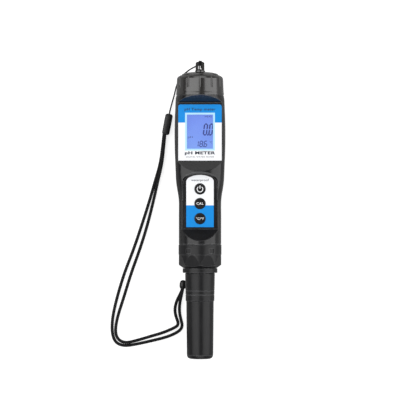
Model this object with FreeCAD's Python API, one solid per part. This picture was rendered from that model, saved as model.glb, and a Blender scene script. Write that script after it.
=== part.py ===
"""Pocket pH and temperature tester, lying on its back with its lanyard laid out beside it.

The pen's axis runs along Y: +Y is the battery cap and lanyard end, -Y the electrode end.
+Z is the display side, +X the right-hand side of somebody reading the display.
The origin is on the table, below the middle of the pen. All sizes are in millimetres.
"""

import FreeCAD, Part
import math
import os

from FreeCAD import Vector

os.makedirs("parts", exist_ok=True)

# ---------------------------------------------------------------- driving dimensions
AXIS_Z = 16.3            # height of the pen's axis above the table
PEN_HALF_LENGTH = 100.9  # lanyard post top and storage cap bottom
WALL = 2.0               # casing wall
FACET_RISE = 7.0         # display and keypad facets, above the axis
FACET_WALL = 1.8         # casing wall under the facets
GAP = 0.3                # clearance between bodies that move

CASING_TOP = 78.1
CASING_BOTTOM = -22.9

CAP_TOP = 93.9           # battery cap
CAP_EDGE = 78.4
CAP_CEILING = 91.6
CAP_BORE = 13.3
GROOVE_COUNT = 12

CELL_RADIUS = 5.8        # button cells, stacked along the pen
CELL_HEIGHT = 5.4
CELL_COUNT = 4
CELL_DROP = -3.5         # the stack lies this far behind the axis
CELL_FLOOR = 67.1

WINDOW_HALF_WIDTH = 8.85
WINDOW_LOW = 41.7
WINDOW_HIGH = 64.8
LABEL_THICKNESS = 0.25

BUTTON_RADIUS = 3.65
BUTTON_PLACES = {"power_button": 14.5, "cal_button": 4.6, "unit_button": -5.6}

NUT_TOP = -23.1
NUT_BOTTOM = -39.2
NUT_RADIUS = 14.6
NUT_FLATS = 8

FLANGE_RADIUS = 11.8
SLEEVE_TOP = -42.7       # mouth of the storage cap

STRING_DIAMETER = 1.0
STRAP_DIAMETER = 2.2

# casing sections along the pen: place, half width, rise in front, depth behind, squareness
SECTIONS = (
    (CASING_TOP, 16.0, 16.0, 16.0, 2.0),
    (73.0, 16.7, 15.2, 17.1, 2.1),
    (61.0, 17.1, 13.6, 17.4, 2.3),
    (41.0, 17.1, 12.4, 17.4, 2.5),
    (26.4, 16.55, 11.0, 17.4, 2.55),
    (17.5, 16.0, 11.4, 17.3, 2.4),
    (8.5, 14.6, 12.2, 17.2, 2.2),
    (-3.0, 14.4, 13.2, 17.1, 2.05),
    (-8.0, 14.4, 13.6, 16.9, 2.0),
    (-13.0, 14.4, 14.0, 16.6, 2.0),
    (-18.0, 14.4, 14.3, 15.6, 2.0),
    (-20.5, 14.4, 14.4, 14.9, 2.0),
    (CASING_BOTTOM, 14.4, 14.4, 14.4, 2.0),
)

# ---------------------------------------------------------------- helpers
AXIS_ORIGIN = Vector(0, 0, AXIS_Z)
PEN_AXIS = Vector(0, 1, 0)
PIECES = {}


def keep(name, shape):
    """Store one sub-part under its own name."""
    PIECES[name] = shape
    return shape


def turned(profile, drop=0.0):
    """Solid of revolution about the pen's axis from (radius, place) points."""
    points = [Vector(radius, place, AXIS_Z + drop) for radius, place in profile]
    face = Part.Face(Part.makePolygon(points + points[:1]))
    return face.revolve(Vector(0, 0, AXIS_Z + drop), PEN_AXIS, 360)


def rod(radius, low, high, x=0.0, rise=0.0):
    """Round bar along the pen, at x and rise from its axis."""
    return Part.makeCylinder(radius, high - low, Vector(x, low, AXIS_Z + rise), PEN_AXIS)


def tube(outer, inner, low, high, x=0.0, rise=0.0):
    """Round sleeve along the pen."""
    return rod(outer, low, high, x, rise).cut(rod(inner, low - 1, high + 1, x, rise))


def post(radius, low, high, x, place):
    """Round bar square to the table; low and high are rises from the axis."""
    return Part.makeCylinder(radius, high - low, Vector(x, place, AXIS_Z + low), Vector(0, 0, 1))


def block(x_low, x_high, y_low, y_high, low, high):
    """Box between two corners; low and high are rises from the axis."""
    corner = Vector(x_low, y_low, AXIS_Z + low)
    return Part.makeBox(x_high - x_low, y_high - y_low, high - low, corner)


def slab(half_width, y_low, y_high, low, high):
    """Box that is symmetric about the pen's middle plane."""
    return block(-half_width, half_width, y_low, y_high, low, high)


def around(shape, angle):
    """Copy of a shape turned about the pen's axis by an angle in degrees."""
    copy = shape.copy()
    copy.rotate(AXIS_ORIGIN, PEN_AXIS, angle)
    return copy


def prism(points, low, high):
    """Plate from an outline of (x, place) points or ready wire; low and high are rises."""
    wire = points
    if not isinstance(points, Part.Wire):
        corners = [Vector(x, place, AXIS_Z + low) for x, place in points]
        wire = Part.makePolygon(corners + corners[:1])
    return Part.Face(wire).extrude(Vector(0, 0, high - low))


def joined(shapes):
    """One shape from several that touch or overlap."""
    whole = shapes[0].fuse(shapes[1:])
    return whole.removeSplitter()


# ---------------------------------------------------------------- casing shells
def half_section(place, half_width, height, squareness, side):
    """Closed half outline of the casing; side +1 is the front, -1 the back."""
    steps = 12
    points = []
    for step in range(steps + 1):
        angle = math.pi * step / steps
        across = math.copysign(abs(math.cos(angle)) ** (2 / squareness), math.cos(angle))
        up = math.sin(angle) ** (2 / squareness) if 0 < step < steps else 0.0
        points.append(Vector(half_width * across, place, AXIS_Z + side * height * up))
    curve = Part.BSplineCurve()
    curve.interpolate(points)
    closing = Part.makeLine(points[-1], points[0])
    return Part.Wire([curve.toShape(), closing])


def half_shell(side, inset=0.0):
    """Solid half of the casing, or of its hollow when inset by the wall."""
    outlines = []
    for place, half_width, front, back, squareness in SECTIONS:
        height = front if side > 0 else back
        outlines.append(half_section(place, half_width - inset, height - inset, squareness, side))
    return Part.makeLoft(outlines, True, False)


HOLLOW_TOP = 75.0
HOLLOW_BOTTOM = -18.5
SEAT_DEPTH = 76.6        # battery collar's seat in the casing's top end
SEAT_RADIUS = 12.4
SOCKET_RADIUS = 12.4     # probe socket thread
SOCKET_FLANGE = 13.0
SOCKET_TOP = -20.5       # the socket's flange lies between these two places
SOCKET_SEAT = -21.9
SOCKET_NECK = 10.7
BIG = 60.0

DISPLAY_LOW = 33.5       # facet edges and where their end slopes meet the round casing
DISPLAY_LOW_END = 26.7
DISPLAY_HIGH = 73.0
DISPLAY_HIGH_END = 77.9
KEYPAD_LOW = -12.7
KEYPAD_LOW_END = -20.7
KEYPAD_HALF_WIDTH = 13.4
KEYPAD_ARCH_TOP = 24.3
KEYPAD_LABEL_HALF = 9.3
KEYPAD_RIM_TOP = 26.1
RIM_ROUND = 0.6          # rounding of the facets' long edges
SHORTEST_RIM = 19.0
RIDGE_RISE = 11.0


def slope_cut(points):
    """Cutter that runs right across the casing; points are (place, rise) seen from the side."""
    corners = [Vector(-BIG / 2, place, AXIS_Z + rise) for place, rise in points]
    face = Part.Face(Part.makePolygon(corners + corners[:1]))
    return face.extrude(Vector(BIG, 0, 0))


def arch_wire(half_width, bottom, crown_top, rise):
    """Outline with straight sides and an arched top with soft corners, drawn at one level."""
    level = AXIS_Z + rise
    side_top = crown_top - 0.55 * half_width
    crown_end = Vector(0.82 * half_width, crown_top - 0.2 * half_width, level)
    corner = Vector(0.955 * half_width, crown_top - 0.34 * half_width, level)
    low = Vector(half_width, bottom, level)
    high = Vector(half_width, side_top, level)
    mirror = [Vector(-point.x, point.y, point.z) for point in (low, high, corner, crown_end)]
    crown = Part.Arc(crown_end, Vector(0, crown_top, level), mirror[3]).toShape()
    return Part.Wire([
        Part.makeLine(mirror[0], low),
        Part.makeLine(low, high),
        Part.Arc(high, corner, crown_end).toShape(),
        crown,
        Part.Arc(mirror[3], mirror[2], mirror[1]).toShape(),
        Part.makeLine(mirror[1], mirror[0]),
    ])


def display_cut():
    """Flat for the display label, with a slope at each end."""
    high_rise = 16.0
    steep = (high_rise - FACET_RISE) / (DISPLAY_HIGH_END - DISPLAY_HIGH)
    low_slope = (RIDGE_RISE - FACET_RISE) / (DISPLAY_LOW - DISPLAY_LOW_END)
    over = 6.0
    return slope_cut((
        (DISPLAY_LOW, FACET_RISE),
        (DISPLAY_HIGH, FACET_RISE),
        (DISPLAY_HIGH_END + over / steep, high_rise + over),
        (DISPLAY_LOW_END - over / low_slope, high_rise + over),
        (DISPLAY_LOW_END - over / low_slope, RIDGE_RISE + over),
    ))


def keypad_cut():
    """Arched recess for the keypad: sloping wall round its top, long slope at its bottom."""
    wall_run = KEYPAD_RIM_TOP - KEYPAD_ARCH_TOP
    wall_rise = RIDGE_RISE - FACET_RISE
    reach = 3.0
    open_low = 7.0
    floor = arch_wire(KEYPAD_HALF_WIDTH - wall_run, open_low, KEYPAD_ARCH_TOP, FACET_RISE)
    rim = arch_wire(
        KEYPAD_HALF_WIDTH - wall_run + reach * wall_run,
        open_low,
        KEYPAD_ARCH_TOP + reach * wall_run,
        FACET_RISE + reach * wall_rise,
    )
    recess = Part.makeLoft([floor, rim], True, True)
    rise_at_end = 14.4
    gentle = (rise_at_end - FACET_RISE) / (KEYPAD_LOW - KEYPAD_LOW_END)
    over = 6.0
    open_neck = slope_cut((
        (KEYPAD_LOW, FACET_RISE),
        (open_low, FACET_RISE),
        (open_low, rise_at_end + over),
        (KEYPAD_LOW_END - over / gentle, rise_at_end + over),
    ))
    return recess.fuse(open_neck)


def window_box(margin, low, high):
    """Box over the display window, larger than the opening by the margin."""
    half = WINDOW_HALF_WIDTH + margin
    return slab(half, WINDOW_LOW - margin, WINDOW_HIGH + margin, low, high)


CEILING = FACET_RISE - FACET_WALL
SCREW_PLACES = ((11.4, 70.5), (11.6, 32.0), (9.3, -15.0))
SCREW_HEAD_LEVEL = -10.0
SCREW_TOP = 4.0
SCREW_RADIUS = 1.1
SCREW_HEAD_RADIUS = 2.0
PILLAR_RADIUS = 2.6


def screw_points():
    """The six screw places, left and right of the middle."""
    return [(side * x, place) for x, place in SCREW_PLACES for side in (-1, 1)]


def casing_ends_cut():
    """Seats of the battery collar, the battery holder and the probe socket."""
    return [
        rod(SEAT_RADIUS, SEAT_DEPTH, CASING_TOP + 1),
        rod(HOLDER_RADIUS, HOLLOW_TOP - 1, SEAT_DEPTH + 1, rise=CELL_DROP),
        rod(SOCKET_RADIUS, CASING_BOTTOM - 1, SOCKET_TOP),
        rod(SOCKET_FLANGE, SOCKET_SEAT, SOCKET_TOP),
        rod(SOCKET_NECK, SOCKET_SEAT, HOLLOW_BOTTOM + 0.1),
    ]


HOLDER_RADIUS = 7.2


def hollow(side):
    """Inside of one shell, under the facets, with the screw pillars left standing."""
    inside = half_shell(side, WALL)
    if side > 0:
        inside = inside.common(slab(BIG, HOLLOW_BOTTOM, HOLLOW_TOP, 0, CEILING))
        pillars = [post(PILLAR_RADIUS, 0, CEILING + 1, x, y) for x, y in screw_points()]
    else:
        inside = inside.common(slab(BIG, HOLLOW_BOTTOM, HOLLOW_TOP, -AXIS_Z + WALL, 0))
        pillars = [post(PILLAR_RADIUS + 0.6, -AXIS_Z, 0, x, y) for x, y in screw_points()]
    return inside.cut(pillars)


def gasket_band(inset_outer, inset_inner, low, high):
    """Flat seal in the parting plane that follows the casing's side outline."""
    def outline(inset):
        right = [Vector(half - inset, place, AXIS_Z + low) for place, half, *rest in SECTIONS]
        left = [Vector(-point.x, point.y, point.z) for point in reversed(right)]
        edges = []
        for points in (right, left):
            curve = Part.BSplineCurve()
            curve.interpolate(points)
            edges.append(curve.toShape())
        edges.insert(1, Part.makeLine(right[-1], left[0]))
        edges.append(Part.makeLine(left[-1], right[0]))
        return prism(Part.Wire(edges), low, high)
    band = outline(inset_outer).cut(outline(inset_inner))
    return band.common(slab(BIG, HOLLOW_BOTTOM + 1, HOLLOW_TOP - 1, low - 1, high + 1))


def is_facet_rim(edge):
    """True for the long side edges of both facets and the two curved rims of their slopes."""
    box = edge.BoundBox
    beside = box.XMin * box.XMax > 0
    rising = box.ZLength > FACET_RISE / 2
    below_arch = box.YMax < DISPLAY_HIGH + 1
    above_split = box.ZMin > AXIS_Z + FACET_RISE - 0.1
    return edge.Length > SHORTEST_RIM and (beside or rising) and below_arch and above_split


def front_casing():
    faced = half_shell(1).cut([display_cut(), keypad_cut()])
    rims = [edge for edge in faced.Edges if is_facet_rim(edge)]
    shell = faced.makeFillet(RIM_ROUND, rims).cut(hollow(1))
    holes = [window_box(0, 0, FACET_RISE + 1)]
    holes += [post(BUTTON_RADIUS + 0.2, 0, FACET_RISE + 1, 0, y) for y in BUTTON_PLACES.values()]
    holes += [post(SCREW_RADIUS, -1, SCREW_TOP, x, y) for x, y in screw_points()]
    holes.append(gasket_band(0.7, 1.4, -0.5, 0.5))
    return shell.cut(holes + casing_ends_cut())


PAD_LEVEL = -AXIS_Z + 0.3  # flat of the back, which the rest pad is stuck on


def rear_casing():
    shell = half_shell(-1).cut(hollow(-1))
    holes = [post(SCREW_RADIUS, -AXIS_Z - 1, 1, x, y) for x, y in screw_points()]
    holes += [post(SCREW_HEAD_RADIUS + 0.2, -BIG, SCREW_HEAD_LEVEL, x, y) for x, y in screw_points()]
    holes.append(gasket_band(0.7, 1.4, -0.5, 0.5))
    holes.append(slab(BIG, -BIG, 2 * BIG, -BIG, PAD_LEVEL))
    return shell.cut(holes + casing_ends_cut())


def casing_screws():
    screws = []
    for x, y in screw_points():
        head = post(SCREW_HEAD_RADIUS, SCREW_HEAD_LEVEL - 1.4, SCREW_HEAD_LEVEL, x, y)
        slot = block(x - 0.25, x + 0.25, y - 1.3, y + 1.3, SCREW_HEAD_LEVEL - 2, SCREW_HEAD_LEVEL - 0.8)
        cross = block(x - 1.3, x + 1.3, y - 0.25, y + 0.25, SCREW_HEAD_LEVEL - 2, SCREW_HEAD_LEVEL - 0.8)
        shank = post(SCREW_RADIUS, SCREW_HEAD_LEVEL, SCREW_TOP - 0.2, x, y)
        screws.append(head.fuse(shank).cut([slot, cross]))
    return Part.makeCompound(screws)


# ---------------------------------------------------------------- battery end
def battery_collar():
    return turned((
        (11.2, SEAT_DEPTH), (SEAT_RADIUS, SEAT_DEPTH), (SEAT_RADIUS, CASING_TOP),
        (13.0, CASING_TOP), (13.0, 79.3), (12.5, 79.3), (12.5, 80.5), (13.0, 80.5),
        (13.0, 90.0), (12.7, 90.3), (11.2, 90.3),
    ))


def battery_holder():
    sleeve = tube(HOLDER_RADIUS, CELL_RADIUS + 0.15, 66.0, 88.2, rise=CELL_DROP)
    floor = rod(HOLDER_RADIUS, 66.0, 66.8, rise=CELL_DROP)
    return joined([sleeve, floor])


def button_cells():
    cells = []
    for number in range(CELL_COUNT):
        low = CELL_FLOOR + number * CELL_HEIGHT
        can = rod(CELL_RADIUS, low, low + CELL_HEIGHT - 0.9, rise=CELL_DROP)
        lid = rod(CELL_RADIUS - 0.8, low + CELL_HEIGHT - 0.9, low + CELL_HEIGHT, rise=CELL_DROP)
        cells.append(can.fuse(lid))
    return Part.makeCompound(cells)


def battery_cap():
    cap = turned((
        (0, CAP_TOP), (5.4, CAP_TOP), (9.0, 93.5), (11.5, 92.8), (12.4, 92.3), (12.4, 91.9),
        (13.9, 91.4), (15.2, 90.4), (15.7, 89.4), (16.05, 80.2), (16.2, 79.6), (16.2, CAP_EDGE),
        (13.9, CAP_EDGE), (13.9, 81.5), (CAP_BORE, 82.0), (CAP_BORE, 90.9), (12.6, CAP_CEILING),
        (0, CAP_CEILING),
    ))
    groove = rod(0.75, 83.2, 90.6, rise=15.95)
    grooves = [around(groove, 360 * number / GROOVE_COUNT) for number in range(GROOVE_COUNT)]
    return cap.cut(grooves + [rod(POST_SHANK + 0.06, CAP_CEILING - 1, CAP_TOP + 1)])


POST_SHANK = 1.8
SLOT_LOW = 95.9
SLOT_HIGH = 99.0


def lanyard_post():
    """Swivelling lug: a flat eye on a shank that turns in the battery cap's dome."""
    disc = rod(3.4, CAP_TOP + 0.1, CAP_TOP + 1.0)
    eye = slab(3.0, CAP_TOP + 0.9, PEN_HALF_LENGTH, -1.7, 1.7)
    corners = [edge for edge in eye.Edges if is_eye_corner(edge)]
    eye = eye.makeFillet(1.4, corners)
    slot = slab(1.2, SLOT_LOW, SLOT_HIGH, -5, 5)
    shank = rod(POST_SHANK, 90.4, CAP_TOP + 0.5)
    return joined([disc, eye, shank]).cut([slot, tube(4, 1.4, 90.9, 91.3)])


def is_eye_corner(edge):
    """The eye's two top corners, whose edges run square to the display."""
    middle = edge.CenterOfMass
    return abs(middle.z - AXIS_Z) < 0.01 and middle.y > 100 and abs(middle.x) > 2.9


def contact_spring():
    return turned(((5.4, 91.55), (5.4, 91.35), (3.6, 89.2), (3.4, 89.2), (3.4, 89.4), (5.1, 91.55)))


# ---------------------------------------------------------------- display and keypad
def display_label():
    plate = slab(14.7, 33.7, 71.7, FACET_RISE, FACET_RISE + LABEL_THICKNESS)
    top = [edge for edge in plate.Edges if edge.CenterOfMass.y > 71 and abs(edge.CenterOfMass.x) > 14]
    top = [edge for edge in top if edge.Length < 1]
    return plate.makeFillet(1.6, top).cut(window_box(0, 0, 20))


def keypad_label():
    level = FACET_RISE
    wire = arch_wire(KEYPAD_LABEL_HALF, -11.4, KEYPAD_ARCH_TOP - 0.3, level)
    plate = prism(wire, level, level + LABEL_THICKNESS)
    holes = [post(BUTTON_RADIUS + 0.2, 0, 20, 0, y) for y in BUTTON_PLACES.values()]
    return plate.cut(holes)


def button(place):
    """Round key: crown through the facet, collar under it, pip that presses the switch."""
    crown = post(BUTTON_RADIUS, 3.6, FACET_RISE + 0.85, 0, place)
    rim = [edge for edge in crown.Edges if edge.CenterOfMass.z > AXIS_Z + FACET_RISE + 0.8]
    crown = crown.makeFillet(0.3, [edge for edge in rim if edge.Closed and edge.Length > 5])
    collar = post(4.15, 3.6, 4.8, 0, place)
    return joined([crown, collar])


def keypad_mat():
    plate = slab(7.5, -12.5, 21.0, 3.9, CEILING)
    return plate.cut([post(4.5, 0, 20, 0, y) for y in BUTTON_PLACES.values()])


def tact_switches():
    bodies = []
    for y in BUTTON_PLACES.values():
        base = block(-3, 3, y - 3, y + 3, BOARD_TOP, 2.2)
        bodies.append(base.fuse(post(1.5, 2.2, 2.95, 0, y)))
    return Part.makeCompound(bodies)


BOARD_TOP = 0.3
BOARD_BOTTOM = -1.3


def main_board():
    """One board: wide behind the display, narrow behind the keys, clear of the pillars."""
    half_head = 11.6
    half_neck = 8.2
    outline = (
        (-half_neck, -11.8), (half_neck, -11.8), (half_neck, 36.0), (half_head, 38.0),
        (half_head, 65.6), (-half_head, 65.6), (-half_head, 38.0), (-half_neck, 36.0),
    )
    return prism(outline, BOARD_BOTTOM, BOARD_TOP)


def board_chips():
    """Controller, memory and amplifier on the back of the board."""
    places = ((-4.5, 4.5, 48, 57, 1.6), (-7.5, -2.5, 38, 42.5, 1.2), (1.5, 6.0, 20, 26, 1.4))
    chips = [block(a, b, c, d, BOARD_BOTTOM - t, BOARD_BOTTOM) for a, b, c, d, t in places]
    return Part.makeCompound(chips)


def display_frame():
    outer = slab(11.0, 39.9, 65.6, BOARD_TOP, CEILING)
    return outer.cut(slab(10.2, 40.7, 64.8 + 0.3, 0, 20))


# ---------------------------------------------------------------- probe end
def probe_socket():
    return turned((
        (9.6, -18.7), (SOCKET_NECK, -18.7), (SOCKET_NECK, SOCKET_TOP),
        (SOCKET_FLANGE, SOCKET_TOP), (SOCKET_FLANGE, SOCKET_SEAT),
        (SOCKET_RADIUS, SOCKET_SEAT), (SOCKET_RADIUS, -34.2), (12.1, -34.5), (9.6, -34.5),
    ))


def collar_nut():
    """Nut with a plain upper band and eight flats that deepen towards its lower end."""
    body = turned((
        (SOCKET_RADIUS + GAP, NUT_TOP), (14.2, NUT_TOP), (NUT_RADIUS, NUT_TOP - 0.5),
        (NUT_RADIUS, -30.0), (14.4, -30.3), (14.4, -37.1), (11.4, NUT_BOTTOM),
        (9.6, NUT_BOTTOM), (9.6, -37.1), (SOCKET_RADIUS + GAP, -37.1),
    ))
    rings = []
    for place, apothem in ((-30.0, 14.45), (NUT_BOTTOM - 0.5, 12.9)):
        reach = apothem / math.cos(math.pi / NUT_FLATS)
        corners = []
        for number in range(NUT_FLATS):
            angle = 2 * math.pi * number / NUT_FLATS
            corners.append(Vector(reach * math.sin(angle), place, AXIS_Z + reach * math.cos(angle)))
        rings.append(Part.makePolygon(corners + corners[:1]))
    flats = Part.makeLoft(rings, True, True)
    lower = body.common(flats)
    upper = body.common(rod(20, -30.0, NUT_TOP + 1))
    window = slab(1.9, -29.2, -25.8, NUT_RADIUS - 0.7, NUT_RADIUS + 1)
    windows = [around(window, angle) for angle in (33, -33, 147, -147)]
    return joined([upper, lower]).cut(windows)


def probe_body():
    """Plug, trapped collar, neck and the seat that the storage cap slides over."""
    body = turned((
        (0, -24.5), (9.3, -24.5), (9.3, -28.0), (8.5, -28.0), (8.5, -29.4), (9.3, -29.4),
        (9.3, -34.8), (12.2, -34.8), (12.2, -36.8), (9.2, -36.8), (9.2, -42.4), (8.0, -42.4),
        (8.0, -48.0), (7.3, -48.0), (7.3, -49.4), (8.0, -49.4), (8.0, -57.0), (6.6, -59.0),
        (6.6, -62.0), (0, -62.0),
    ))
    return body.cut([rod(4.0, -63.0, -55.0)] + pins(0.0, -27.5, -24.0))


def pins(extra, low, high):
    """Four contact pins on a circle."""
    pin = rod(0.6 + extra, low, high, rise=4.5)
    return [around(pin, 90 * number + 45) for number in range(4)]


def storage_cap():
    return turned((
        (8.4, SLEEVE_TOP), (9.8, SLEEVE_TOP), (10.1, -43.1), (9.85, -54.4), (9.7, -54.5),
        (9.7, -54.8), (9.85, -54.9), (9.8, -57.1), (9.65, -57.2), (9.65, -57.5), (9.8, -57.6),
        (9.75, -61.3), (9.3, -61.8), (9.3, -62.4), (8.98, -98.2), (8.85, -98.4), (8.96, -98.6),
        (8.3, -100.2), (6.8, -PEN_HALF_LENGTH), (0, -PEN_HALF_LENGTH), (0, -99.3), (7.5, -99.3),
        (7.7, -62.4), (8.4, -60.0),
    ))


# ---------------------------------------------------------------- lanyard routes
STRING_ROUTE = (
    (-1.2, 98.7, 13.9), (-5.0, 97.1, 12.6), (-8.5, 95.0, 9.6), (-11.9, 92.2, 5.9),
    (-14.4, 89.0, 3.1), (-16.2, 85.4, 1.4), (-17.5, 79.6, 0.8), (-19.3, 73.2, 1.2),
    (-20.6, 68.4, 2.1), (-21.0, 66.0, 2.5),
)
OUTER_ROUTE = (
    (-24.7, 52.4, 1.2), (-25.6, 44.0, 1.15), (-27.2, 32.0, 1.15), (-30.6, 20.5, 1.15),
    (-34.6, 6.5, 1.15), (-40.1, -10.7, 1.15), (-45.6, -27.0, 1.15), (-52.0, -43.3, 1.15),
    (-56.9, -59.6, 1.15), (-60.2, -74.0, 1.15), (-60.4, -84.6, 1.15), (-57.9, -91.0, 1.15),
    (-51.9, -93.2, 1.15), (-43.7, -91.9, 1.15), (-32.8, -89.5, 1.15), (-23.1, -87.1, 1.15),
    (-16.6, -84.4, 1.15), (-12.9, -81.6, 1.15), (-12.1, -78.6, 1.15), (-13.2, -74.8, 1.15),
    (-14.2, -69.6, 1.3), (-14.0, -64.4, 2.2), (-13.0, -59.4, 3.4), (-11.9, -54.6, 3.45),
    (-11.6, -52.0, 3.4),
)
INNER_ROUTE = (
    (-24.0, 52.4, 3.5), (-24.8, 44.0, 3.5), (-26.0, 32.0, 3.4), (-28.8, 20.5, 2.7),
    (-31.9, 6.5, 1.3), (-36.2, -10.7, 1.15), (-41.3, -27.0, 1.15), (-47.3, -43.3, 1.15),
    (-52.2, -59.6, 1.15), (-56.8, -73.6, 1.15), (-58.3, -83.4, 2.2), (-56.2, -88.8, 2.6),
    (-51.2, -91.1, 2.4), (-43.6, -89.4, 1.5), (-33.6, -86.4, 1.15), (-25.3, -84.0, 1.15),
    (-18.7, -81.2, 1.15), (-15.5, -79.4, 1.15), (-14.9, -77.4, 1.15), (-15.9, -74.6, 1.15),
    (-17.2, -70.4, 1.15), (-17.1, -66.0, 1.15), (-15.6, -61.4, 1.15), (-13.6, -57.6, 1.15),
    (-12.2, -54.4, 1.15), (-11.6, -52.0, 1.2),
)
SLIDER_TOP = Vector(-20.95, 66.1, 2.55)
SLIDER_BOTTOM = Vector(-23.75, 51.6, 2.55)
BEAD_LOW = Vector(-12.0, -54.2, 2.35)
BEAD_HIGH = Vector(-11.4, -47.9, 2.35)


def cord_path(points):
    """Straight runs joined by tangent arcs; also gives the smallest radius."""
    corners = [Vector(*point) for point in points]
    edges = []
    radii = []
    start = corners[0]
    for before, corner, after in zip(corners, corners[1:], corners[2:]):
        into = corner - before
        out = after - corner
        run = min(into.Length, out.Length)
        into.normalize()
        out.normalize()
        setback = 0.45 * run
        half_turn = into.getAngle(out) / 2
        radius = setback / math.tan(half_turn)
        radii.append(radius)
        first = corner - into * setback
        last = corner + out * setback
        inward = out - into
        inward.normalize()
        centre = corner + inward * (radius / math.cos(half_turn))
        middle = centre - inward * radius
        edges.append(Part.LineSegment(start, first).toShape())
        edges.append(Part.Arc(first, middle, last).toShape())
        start = last
    edges.append(Part.LineSegment(start, corners[-1]).toShape())
    return Part.Wire(edges), min(radii)


def cord(name, points, diameter):
    """Plain round cord along a route, with its length and radius printed."""
    path, tightest = cord_path(points)
    direction = Vector(*points[1]) - Vector(*points[0])
    circle = Part.Wire(Part.makeCircle(diameter / 2, Vector(*points[0]), direction))
    shape = path.makePipeShell([circle], True, True)
    expected = math.pi * diameter ** 2 / 4 * path.Length
    print(f"{name}: length {path.Length:.1f}, smallest radius {tightest:.2f}, "
          f"volume over section times length {shape.Volume / expected:.4f}")
    return keep(name, shape)


def lanyard_slider():
    """Crimped sleeve with rounded ends that holds the string and both strap ends."""
    along = SLIDER_BOTTOM - SLIDER_TOP
    body = Part.makeBox(5.2, along.Length, 5.0, Vector(-2.6, -along.Length, -2.5))
    body = body.makeFillet(1.2, body.Edges)
    body.rotate(Vector(0, 0, 0), Vector(0, 0, 1), math.degrees(math.atan2(along.x, -along.y)))
    body.translate(SLIDER_TOP)
    return body


def strap_bead():
    along = BEAD_HIGH - BEAD_LOW
    body = Part.makeCylinder(2.3, along.Length, BEAD_LOW, along)
    return body.makeFillet(1.3, [edge for edge in body.Edges if edge.Closed])


def lanyard_hitch():
    """Turns of string around the eye's top bar, as one plain ring."""
    outer = slab(1.1, SLOT_HIGH - 0.8, PEN_HALF_LENGTH + 0.9, -2.6, 2.6)
    rounded = outer.makeFillet(0.8, [edge for edge in outer.Edges if abs(edge.CenterOfMass.x) < 0.1])
    return rounded.cut(slab(3, SLOT_HIGH, PEN_HALF_LENGTH, -1.7, 1.7))


# ---------------------------------------------------------------- every sub-part
keep("front_casing", front_casing())
keep("rear_casing", rear_casing())
keep("back_pad", slab(7.0, -4.0, 60.0, -AXIS_Z, PAD_LEVEL))
keep("casing_gasket", gasket_band(0.7, 1.4, -0.5, 0.5))
keep("casing_screws", casing_screws())
keep("battery_collar", battery_collar())
keep("collar_o_ring", tube(13.3, 12.5, 79.35, 80.45))
keep("battery_holder", battery_holder())
keep("button_cells", button_cells())
keep("bottom_contact", rod(4.5, 66.8, CELL_FLOOR, rise=CELL_DROP))
keep("battery_cap", battery_cap())
keep("contact_spring", contact_spring())
keep("lanyard_post", lanyard_post())
keep("post_clip", tube(2.9, 1.4, 90.9, 91.3))
keep("lanyard_hitch", lanyard_hitch())
keep("display_label", display_label())
keep("display_window", window_box(-0.05, CEILING - 0.3, FACET_RISE + LABEL_THICKNESS - 0.05))
keep("lcd_glass", slab(10.0, 40.9, 64.9, 2.9, CEILING - 0.35))
keep("backlight", slab(10.0, 40.9, 64.9, 1.7, 2.9))
keep("contact_strip", slab(9.5, 41.0, 43.0, BOARD_TOP, 1.7))
keep("display_frame", display_frame())
keep("main_board", main_board())
keep("board_chips", board_chips())
keep("tact_switches", tact_switches())
keep("keypad_mat", keypad_mat())
keep("keypad_label", keypad_label())
for button_name, button_place in BUTTON_PLACES.items():
    keep(button_name, button(button_place))
keep("probe_socket", probe_socket())
keep("pin_receptacle", rod(9.6, -24.0, -18.7).cut(pins(0.2, -25.0, -20.0)))
keep("collar_nut", collar_nut())
keep("probe_body", probe_body())
keep("probe_pins", Part.makeCompound(pins(0.0, -27.5, -21.0)))
keep("plug_o_ring", tube(9.5, 8.5, -29.35, -28.05))
keep("probe_flange", tube(FLANGE_RADIUS, 9.2, -42.4, -39.5))
keep("electrode_tube", tube(4.0, 3.0, -84.0, -55.0))
keep("glass_bulb", turned(((0, -83.0), (3.0, -83.0), (3.0, -84.2), (3.7, -86.0), (3.1, -88.4),
                           (1.6, -89.7), (0, -90.0))))
keep("reference_junction", tube(4.25, 4.0, -82.0, -79.0))
keep("temperature_sensor", rod(0.9, -80.0, -62.0, rise=-5.2))
keep("bulb_guard", tube(6.6, 6.1, -92.0, -62.0).cut(
    [block(-1.8, 1.8, -91.0, -80.0, -10, 10), block(-10, 10, -91.0, -80.0, -1.8, 1.8)]))
keep("cap_o_ring", tube(8.2, 7.3, -49.35, -48.05))
keep("storage_cap", storage_cap())
keep("storage_sponge", rod(7.2, -99.2, -93.5))
keep("lanyard_slider", lanyard_slider())
keep("strap_bead", strap_bead())
cord("lanyard_string", STRING_ROUTE, STRING_DIAMETER)
cord("strap_outer", OUTER_ROUTE, STRAP_DIAMETER)
cord("strap_inner", INNER_ROUTE, STRAP_DIAMETER)

for piece_name, piece in PIECES.items():
    if not piece.isValid() or piece.Volume <= 0:
        print("check this piece:", piece_name, piece.isValid(), piece.Volume)
    piece.exportStep(f"parts/{piece_name}.step")
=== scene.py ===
"""Pocket pH and temperature tester on its back, with its wrist lanyard laid out beside it.

Laid out as an add-on: sizes and colours are properties, each group of pieces has an operator,
and one panel lists them. Lengths are metres; the pen's axis runs along Y, the display faces +Z.
"""

import math

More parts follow.
